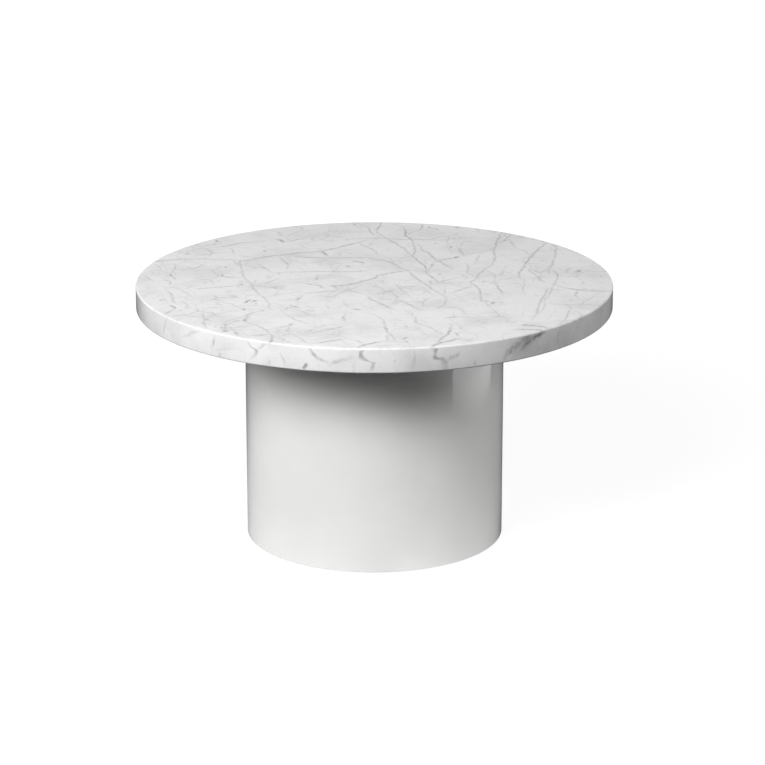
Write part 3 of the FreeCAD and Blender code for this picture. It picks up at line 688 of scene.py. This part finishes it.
def runOuts(radius):
    found = []
    for halfWidth, darkness, *points in faceVeins:
        ends = ((points[0], points[1], darkness[0]), (points[-1], points[-2], darkness[-1]))
        for end, before, strength in ends:
            angle = bearing(end)
            if math.hypot(*end) < radius - runOut["near"] or abs(angle) < runOut["front"]:
                continue
            lean = turnBetween(bearing(before), angle)
            lean = max(-runOut["lean"], min(runOut["lean"], lean))
            steps = [(angle + share * lean, depth) for share, depth in runOut["steps"]]
            found.append((halfWidth, (strength, runOut["fade"] * strength), *steps))
    return found


def marbleRim(radius, top):
    material, tree = newTree("polishedMarbleRim")
    place = millimetres(tree)
    strayed = separate(tree, wander(tree, place, marble["wiggle"]))
    forwards = maths(tree, "MULTIPLY", strayed["Y"], -1.0)
    turn = maths(tree, "ARCTAN2", strayed["X"], forwards)
    below = maths(tree, "SUBTRACT", top, strayed["Z"])
    flat = onPlane(tree, maths(tree, "MULTIPLY", turn, radius), below)
    veins = []
    for halfWidth, darkness, *points in rimVeins + runOuts(radius):
        unrolled = [(math.radians(angle) * radius, depth) for angle, depth in points]
        veins.append((halfWidth * marble["rimWiden"], darkness, unrolled))
    darkest = drawAll(tree, flat, "rimVeins", drawVein, veins)
    stoneShader(tree, place, darkest, marble["rim"])
    return material


stoneDisc = {
    "segments": 240,
    "edgeRadius": 2.0,
    "edgeSteps": 6,
    "faceRings": (0, 40, 90, 140, 190, 235),
    "undersideRing": 152.0,
    "insertHole": (6.2, 16.0, 32),  # radius, depth, segments
    "sharpAngle": 40,
}


def makeStoneDisc():
    low, high = nodeBox("marble_top")
    radius, top, bottom = high.x, high.z, low.z
    edge, steps = stoneDisc["edgeRadius"], stoneDisc["edgeSteps"]
    bm = bmesh.new()
    upper = [(ring, top) for ring in stoneDisc["faceRings"]]
    upper += arc((radius - edge, top - edge), edge, 90, 0, steps)
    lower = arc((radius - edge, bottom + edge), edge, 0, -90, steps)
    lower.append((stoneDisc["undersideRing"], bottom))
    rings = turnProfile(bm, upper + lower, stoneDisc["segments"])
    rim = {vert for ring in rings[len(upper) - 1:-1] for vert in ring}
    # the middle of the underside, with the four holes that take the threaded inserts
    holeRadius, holeDepth, holeSegments = stoneDisc["insertHole"]
    hole = [(holeRadius, bottom), (holeRadius, bottom + holeDepth)]
    centres = [middleOf(points) for points in solidPoints("stone_inserts")]
    loops = [rings[-1]]
    for centre in sorted(centres, key=lambda point: math.atan2(point.y, point.x)):
        sides = turnProfile(bm, hole, holeSegments, centre)
        bm.faces.new(sides[-1])
        loops.append(sides[0])
    edges = [bm.edges.get((loop[i - 1], loop[i])) for loop in loops for i in range(len(loop))]
    bmesh.ops.triangle_fill(bm, use_beauty=True, edges=edges, normal=(0, 0, -1))
    for face in bm.faces:
        face.material_index = 1 if all(vert in rim for vert in face.verts) else 0
    piece = newPiece("stoneDisc", bm, marbleFaces(top, bottom), marbleRim(radius, top))
    smoothShade(piece, stoneDisc["sharpAngle"])
    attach(piece, "base")
    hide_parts("marble_top")
    return piece


# Finishes of the metal and plastic pieces: two colours, where each shows, how rough, and the bumps

def mottled(name, finish):
    material, tree = newTree(name)
    place = millimetres(tree)
    colour = mixColour(tree, mottle(tree, place, finish["tone"]), *finish["colours"])
    roughness = mottle(tree, place, finish["roughness"])
    finishShader(tree, colour, roughness, bumps(tree, place, *finish["bumps"]), finish["metallic"])
    return material


coat = {
    "colours": ((0.82, 0.823, 0.812, 1), (0.795, 0.798, 0.787, 1)),
    "tone": {"noise": (0.012, 3.0), "range": (0.35, 0.65, 0.0, 1.0)},
    "roughness": {"noise": (0.08, 3.0), "range": (0.3, 0.7, 0.03, 0.055)},
    "bumps": (0.3, 1.0, 0.004),
    "metallic": 0.0,
}
zinc = {
    "colours": ((0.60, 0.615, 0.63, 1), (0.47, 0.49, 0.50, 1)),
    "tone": {"noise": (0.25, 4.0, 0.6), "range": (0.3, 0.7, 0.0, 1.0)},
    "roughness": {"noise": (0.75, 3.0), "range": (0.3, 0.7, 0.22, 0.42)},
    "bumps": (1.5, 2.0, 0.01),
    "metallic": 1.0,
}
brass = {
    "colours": ((0.72, 0.55, 0.28, 1), (0.55, 0.40, 0.18, 1)),
    "tone": {"noise": (0.3, 4.0, 0.6), "range": (0.3, 0.7, 0.0, 1.0)},
    "roughness": {"noise": (0.9, 3.0), "range": (0.3, 0.7, 0.25, 0.45)},
    "bumps": (1.5, 2.0, 0.01),
    "metallic": 1.0,
}
silicone = {
    "colours": ((0.74, 0.75, 0.76, 1), (0.64, 0.65, 0.66, 1)),
    "tone": {"noise": (0.2, 4.0, 0.6), "range": (0.3, 0.7, 0.0, 1.0)},
    "roughness": {"noise": (0.6, 3.0), "range": (0.3, 0.7, 0.38, 0.55)},
    "bumps": (1.5, 2.0, 0.01),
    "metallic": 0.0,
}
nylon = {
    "colours": ((0.018, 0.018, 0.020, 1), (0.035, 0.035, 0.038, 1)),
    "tone": {"noise": (0.15, 4.0, 0.6), "range": (0.3, 0.7, 0.0, 1.0)},
    "roughness": {"noise": (0.45, 3.0), "range": (0.3, 0.7, 0.42, 0.62)},
    "bumps": (2.2, 2.0, 0.02),
    "metallic": 0.0,
}


def dressNodes(finishes):
    for material, nodes in finishes:
        for node in nodes:
            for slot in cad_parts[node].material_slots:
                slot.material = material


# Drum and fittings

steelDrum = {
    "segments": 240,
    "wall": 3.0,
    "edgeRadius": 0.8,
    "edgeSteps": 3,
    "bands": 6,
    "sharpAngle": 40,
}


def makeSteelDrum(material):
    low, high = nodeBox("drum_shell")
    outside, inside = high.x, high.x - steelDrum["wall"]
    edge, steps, bands = steelDrum["edgeRadius"], steelDrum["edgeSteps"], steelDrum["bands"]
    bottom, top = low.z + edge, high.z - edge
    levels = [bottom + (top - bottom) * i / bands for i in range(1, bands)]
    profile = arc((outside - edge, bottom), edge, -90, 0, steps)
    profile += [(outside, level) for level in levels]
    profile += arc((outside - edge, top), edge, 0, 90, steps)
    profile += arc((inside + edge, top), edge, 90, 180, steps)
    profile += [(inside, level) for level in reversed(levels)]
    profile += arc((inside + edge, bottom), edge, 180, 270, steps)
    bm = bmesh.new()
    rings = turnProfile(bm, profile, steelDrum["segments"])
    joinRings(bm, rings[-1], rings[0])
    piece = newPiece("steelDrum", bm, material)
    smoothShade(piece, steelDrum["sharpAngle"])
    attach(piece, "base")
    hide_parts("drum_shell")
    return piece


weldBead = {
    "leg": 3.0,
    "along": 0.6,  # step along the bead
    "across": 6,
    "ripple": 1.7,  # from one ripple to the next
    "rippleDepth": 0.16,
    "rippleCurve": 0.8,  # how far a ripple's middle runs ahead
    "bulge": 0.25,
    "lean": 0.7,  # share of the bulge that goes each way, off the wall and off the plate
    "endSize": 0.02,  # the blunt end, as a share of the leg
    "gap": 0.04,
    "sharpAngle": 60,
}


def beadSpans(node):
    # where each bead begins and ends round the drum, in degrees
    spans = []
    for points in solidPoints(node):
        angles = [math.degrees(math.atan2(point.y, point.x)) for point in points]
        turns = [turnBetween(angles[0], angle) for angle in angles]
        spans.append((angles[0] + min(turns), angles[0] + max(turns)))
    return sorted(spans)


def makeWeldBeads(name, node, material, seat, upwards):
    # a stitch of beads in the corner between the drum's inside and a plate, rippled as they were laid
    bm = bmesh.new()
    wall = max(math.hypot(*(vert.co / mm).xy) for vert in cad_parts[node].data.vertices)
    leg, across, gap = weldBead["leg"], weldBead["across"], weldBead["gap"]
    for start, end in beadSpans(node):
        length = math.radians(end - start) * wall
        steps = int(length / weldBead["along"])
        rows = []
        for i in range(steps + 1):
            way = length * i / steps
            angle = math.radians(start) + way / wall
            nearEnd = min(1.0, min(way, length - way) / leg)
            size = math.sqrt(max(0.0, 1 - (1 - nearEnd) ** 2))
            size = leg * (size * (1 - weldBead["endSize"]) + weldBead["endSize"])
            corners = []
            for j in range(across + 1):
                share = j / across
                middle = 4 * share * (1 - share)
                wave = math.sin(2 * math.pi * (way - weldBead["rippleCurve"] * middle) / weldBead["ripple"])
                rise = middle * (weldBead["bulge"] + weldBead["rippleDepth"] * wave) * size / leg
                corners.append((size * share + weldBead["lean"] * rise,
                                size * (1 - share) + weldBead["lean"] * rise))
            corners.append((0.0, 0.0))
            row = []
            for inwards, off in corners:
                radius = wall - gap - inwards
                height = seat + upwards * (gap + off)
                row.append(bm.verts.new((radius * math.cos(angle), radius * math.sin(angle), height)))
            rows.append(row)
        for first, second in zip(rows, rows[1:]):
            joinRings(bm, first, second)
        bm.faces.new(rows[0])
        bm.faces.new(rows[-1])
    piece = newPiece(name, bm, material)
    smoothShade(piece, weldBead["sharpAngle"])
    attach(piece, "base")
    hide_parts(node)
    return piece


glideStem = {
    "spigot": (5.0, 5.0),  # radius, height
    "spigotChamfer": 0.5,
    "collar": (13.0, 5.0),  # across flats, height
    "collarSides": 6,
    "collarChamfer": (0.6, 0.36),  # inwards, and up or down
    "threadRadius": 4.0,
    "threadRoot": 3.32,
    "threadSunk": 0.5,  # how far the thread starts inside the collar
    "pitch": 1.25,
    "crest": (0.42, 0.58),  # where the crest begins and ends, in pitches
    "tipChamfer": 1.0,
    "segments": 32,
    "sharpAngle": 35,
}


def makeGlideStem(place, material):
    node = "glide_stem_" + place
    low, high = nodeBox(node)
    centre = (low + high) / 2
    bm = bmesh.new()
    spigotRadius, spigotHeight = glideStem["spigot"]
    collarFlats, collarHeight = glideStem["collar"]
    collarBottom = low.z + spigotHeight
    collarTop = collarBottom + collarHeight
    chamfer = glideStem["spigotChamfer"]
    spigot = [(0, low.z), (spigotRadius - chamfer, low.z), (spigotRadius, low.z + chamfer),
              (spigotRadius, collarBottom), (0, collarBottom)]
    turnProfile(bm, spigot, glideStem["segments"], centre)
    corner = collarFlats / math.sqrt(3)
    cutIn, cutUp = glideStem["collarChamfer"]
    collar = [(0, collarBottom), (corner - cutIn, collarBottom), (corner, collarBottom + cutUp),
              (corner, collarTop - cutUp), (corner - cutIn, collarTop), (0, collarTop)]
    turnProfile(bm, collar, glideStem["collarSides"], centre)
    makeThread(bm, centre, collarTop - glideStem["threadSunk"], high.z)
    name = "glideStem" + "".join(word.capitalize() for word in place.split("_"))
    piece = newPiece(name, bm, material)
    smoothShade(piece, glideStem["sharpAngle"])
    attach(piece, node)
    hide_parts(node)
    return piece


def makeThread(bm, centre, bottom, top):
    segments, pitch = glideStem["segments"], glideStem["pitch"]
    root, outside = glideStem["threadRoot"], glideStem["threadRadius"]
    crestStart, crestEnd = glideStem["crest"]
    count = int((top - bottom) / pitch * segments)
    columns = []
    for i in range(count + segments + 1):
        angle = 2 * math.pi * i / segments
        start = bottom + pitch * (i / segments - 1)
        column = []
        for radius, share in ((root, 0.0), (outside, crestStart), (outside, crestEnd)):
            height = min(max(start + share * pitch, bottom), top)
            radius = min(radius, outside - glideStem["tipChamfer"] + (top - height))
            x, y = centre.x + radius * math.cos(angle), centre.y + radius * math.sin(angle)
            column.append(bm.verts.new((x, y, height)))
        columns.append(column)
    for i in range(count):
        near, far = columns[i], columns[i + 1]
        after, afterFar = columns[i + segments], columns[i + segments + 1]
        bm.faces.new((near[0], far[0], far[1], near[1]))
        bm.faces.new((near[1], far[1], far[2], near[2]))
        bm.faces.new((near[2], far[2], afterFar[0], after[0]))
    for column in columns[count + 1:]:
        for vert in column[1:]:
            bm.verts.remove(vert)
    for first in (count, 0):
        bm.faces.new([column[0] for column in columns[first:first + segments]])
    bmesh.ops.remove_doubles(bm, verts=bm.verts, dist=2 * mergeDistance)
    bmesh.ops.dissolve_degenerate(bm, edges=bm.edges, dist=mergeDistance)


# Studio, in metres

floorLook = {
    "radius": 14.0,
    "glow": (0.90, 1.0),  # near the table, where its shadow has to show, and far away
    "glowReach": (0.7, 1.7),
    "lit": 0.18,
    "bounce": (0.60, 0.04),  # under the table and beyond it
    "bounceReach": (0.17, 0.26),
    "card": (0.92, 0.0),  # a white card on the floor at the front right
    "cardReach": (0.09, 0.16),
    "cardMiddle": (0.13, -0.17, 0.0),
}
skyLook = {"white": 1.0, "fill": 0.005}
flagLook = {
    "radius": 2.2,
    "height": 0.0006,
    "tone": (0.45, 0.03),  # painted reflection: near its pale spot on the left, which shows as a paler reflection along the drum's left edge, and elsewhere
    "paleMiddle": (-0.36, -0.02, 0.0006),
    "paleReach": (0.16, 0.5),
}
sheetSegments = 64


def whereSeen(tree):
    # 1 for what the camera, a reflection or clear glass sees, 0 for light that only bounces
    path = addNode(tree, "ShaderNodeLightPath").outputs
    seen = maths(tree, "MAXIMUM", path["Is Camera Ray"], path["Is Glossy Ray"])
    return maths(tree, "MAXIMUM", seen, path["Is Transmission Ray"])


def glowing(tree, strength):
    shader = addNode(tree, "ShaderNodeEmission")
    shader.inputs["Color"].default_value = grey(1.0)
    tree.links.new(strength, shader.inputs["Strength"])
    return shader


def matt(tree, tone):
    shader = addNode(tree, "ShaderNodeBsdfDiffuse")
    feed(tree, tone, shader.inputs["Color"])
    return shader


def mixShaders(tree, share, first, second):
    mix = addNode(tree, "ShaderNodeMixShader")
    tree.links.new(share, mix.inputs[0])
    tree.links.new(first.outputs[0], mix.inputs[1])
    tree.links.new(second.outputs[0], mix.inputs[2])
    return mix


def layFlat(name, radius, height, material):
    bm = bmesh.new()
    bm.faces.new(ringOf(bm, radius / mm, height / mm, sheetSegments))
    sheet = newPiece(name, bm, material)
    if sheet.data.polygons[0].normal.z < 0:
        sheet.data.flip_normals()
    return sheet


def onlyReflected(sheet):
    sheet.visible_camera = False
    sheet.visible_diffuse = False
    sheet.visible_transmission = False
    sheet.visible_shadow = False


def makeFloor():
    # white where it is seen, with the table's shadow on it
    material, tree = newTree("paleFloor")
    place = onObject(tree)
    away = vectorMaths(tree, "LENGTH", place)
    strength = remap(tree, away, *floorLook["glowReach"], *floorLook["glow"])
    shown = addNode(tree, "ShaderNodeAddShader")
    tree.links.new(glowing(tree, strength).outputs[0], shown.inputs[0])
    tree.links.new(matt(tree, grey(floorLook["lit"])).outputs[0], shown.inputs[1])
    fromCard = vectorMaths(tree, "DISTANCE", place, floorLook["cardMiddle"])
    pale = maths(tree, "MAXIMUM", remap(tree, away, *floorLook["bounceReach"], *floorLook["bounce"]),
                 remap(tree, fromCard, *floorLook["cardReach"], *floorLook["card"]))
    above = mixShaders(tree, whereSeen(tree), matt(tree, pale), shown)
    # open from below, so that the underside can be looked at
    fromBelow = addNode(tree, "ShaderNodeNewGeometry").outputs["Backfacing"]
    showSurface(tree, mixShaders(tree, fromBelow, above, addNode(tree, "ShaderNodeBsdfTransparent")))
    floor = layFlat("paleFloor", floorLook["radius"], 0.0, material)
    floor.visible_shadow = False


def makeFlag():
    # a dark cloth that only reflections see, a painted reflection: it gives the coated drum and the rim
    # their darker edges, and its pale spot a paler reflection on the drum's left edge
    material, tree = newTree("darkCloth")
    fromSpot = vectorMaths(tree, "DISTANCE", onObject(tree), flagLook["paleMiddle"])
    tone = remap(tree, fromSpot, *flagLook["paleReach"], *flagLook["tone"])
    showSurface(tree, matt(tree, tone))
    onlyReflected(layFlat("darkFlag", flagLook["radius"], flagLook["height"], material))


def makeSky():
    world = bpy.data.worlds.new("paleStudio")
    bpy.context.scene.world = world
    world.use_nodes = True
    tree = world.node_tree
    tree.nodes.clear()
    background = addNode(tree, "ShaderNodeBackground")
    background.inputs["Color"].default_value = grey(1.0)
    strength = remap(tree, whereSeen(tree), 0.0, 1.0, skyLook["fill"], skyLook["white"], smooth=False)
    tree.links.new(strength, background.inputs["Strength"])
    tree.links.new(background.outputs[0], addNode(tree, "ShaderNodeOutputWorld").inputs["Surface"])


# Lamps: degrees round from the front to the right, up and rolled, metres away, width and height, and watts
lampAim = Vector((0, 0, 0.2))
lamps = {
    "keySoftbox": {"round": -33.3, "up": 31.0, "roll": 31, "away": 2.6, "size": (1.79, 0.77), "watts": 78.5},
    "overhead": {"round": -20, "up": 72, "away": 1.0, "size": (0.6, 0.5), "watts": 1.9},
    "rightFill": {"round": 60, "up": 30, "away": 3.0, "size": (0.8, 0.8), "watts": 13, "reflected": False},
    "leftEdge": {"round": -121, "up": 8, "away": 2.0, "size": (0.7, 0.5), "watts": 9, "reflected": False},
    "rightEdge": {"round": 105, "up": 4, "away": 2.0, "size": (0.6, 0.4), "watts": 14, "reflected": False},
    "backFill": {"round": 185, "up": 3, "away": 2.5, "size": (1.2, 0.5), "watts": 24, "reflected": False},
    # narrow, so that it lights the drum's lower end and nothing beside it
    "underneath": {"round": 0, "up": -90, "away": 0.40, "size": (0.26, 0.26), "watts": 0.14,
                   "shape": "ELLIPSE", "spread": 25},
}


def makeLamps():
    for name, lamp in lamps.items():
        light = bpy.data.lights.new(name, "AREA")
        light.shape = lamp.get("shape", "RECTANGLE")
        light.size, light.size_y = lamp["size"]
        light.spread = math.radians(lamp.get("spread", 180))
        light.energy = lamp["watts"]
        holder = bpy.data.objects.new(name, light)
        bpy.context.scene.collection.objects.link(holder)
        turn, rise = math.radians(lamp["round"]), math.radians(lamp["up"])
        level = math.cos(rise)
        outwards = Vector((math.sin(turn) * level, -math.cos(turn) * level, math.sin(rise)))
        holder.location = lampAim + lamp["away"] * outwards
        roll = Quaternion((0, 0, 1), math.radians(lamp.get("roll", 0)))
        holder.rotation_euler = (outwards.to_track_quat("Z", "Y") @ roll).to_euler()
        holder.visible_glossy = lamp.get("reflected", True)


# A white card on the right that only the drum reflects
sideCard = {
    "right": 0.6,
    "front": -0.276,
    "back": 0.277,
    "bottom": 0.002,
    "top": 0.118,
    "fade": 0.075,  # whole from this height
    "glow": (2.35, 2.1),  # at its front and back ends
}


def makeSideCard(drum):
    material, tree = newTree("sideCard")
    place = separate(tree, onObject(tree))
    along = remap(tree, place["Y"], sideCard["front"], sideCard["back"], *sideCard["glow"], smooth=False)
    rise = remap(tree, place["Z"], 0.0, sideCard["fade"], 0.0, 1.0)
    showSurface(tree, glowing(tree, maths(tree, "MULTIPLY", along, rise)))
    sides = ("right", "front", "back", "bottom", "top")
    right, front, back, bottom, top = (sideCard[side] / mm for side in sides)
    corners = ((front, bottom), (back, bottom), (back, top), (front, top))
    bm = bmesh.new()
    bm.faces.new([bm.verts.new((right, y, z)) for y, z in corners])
    card = newPiece("sideCard", bm, material)
    onlyReflected(card)
    lightened = bpy.data.collections.new("lightenedByCard")
    lightened.objects.link(drum)
    card.light_linking.receiver_collection = lightened


view = {
    "place": (0.0, -3.4642, 1.2562),
    "downwards": 17.231,  # degrees
    "toTheRight": 0.154,
    "lens": 146.35,
    "sensor": 36.0,
}


def makeCamera():
    camera = bpy.data.cameras.new("photoView")
    camera.lens = view["lens"]
    camera.sensor_width = view["sensor"]
    holder = bpy.data.objects.new("photoView", camera)
    bpy.context.scene.collection.objects.link(holder)
    holder.location = view["place"]
    holder.rotation_euler = (math.radians(90 - view["downwards"]), 0, math.radians(-view["toTheRight"]))
    bpy.context.scene.camera = holder


print("stone disc")
makeStoneDisc()
print("steel drum and fittings")
whiteCoat = mottled("whiteCoat", coat)
zincSteel = mottled("zincPlate", zinc)
drum = makeSteelDrum(whiteCoat)
plateBottom = nodeBox("top_plate")[0].z
ringTop = nodeBox("foot_ring")[1].z
makeWeldBeads("plateWelds", "top_plate_welds", whiteCoat, plateBottom, -1)
makeWeldBeads("ringWelds", "foot_ring_welds", whiteCoat, ringTop, 1)
stemPrefix = "glide_stem_"
glidePlaces = [node.replace(stemPrefix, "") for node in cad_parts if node.startswith(stemPrefix)]
for glidePlace in glidePlaces:
    makeGlideStem(glidePlace, zincSteel)
dressNodes([
    (whiteCoat, ["top_plate", "foot_ring"]),
    (zincSteel, ["top_screws", "top_screw_washers", "glide_nuts"]),
    (mottled("turnedBrass", brass), ["stone_inserts"]),
    (mottled("milkySilicone", silicone), ["bumper_pads"]),
    (mottled("mouldedNylon", nylon), ["glide_foot_" + glidePlace for glidePlace in glidePlaces]),
])
print("studio")
makeFloor()
makeFlag()
makeSky()
makeLamps()
makeSideCard(drum)
makeCamera()
bpy.context.scene.view_settings.view_transform = "Standard"
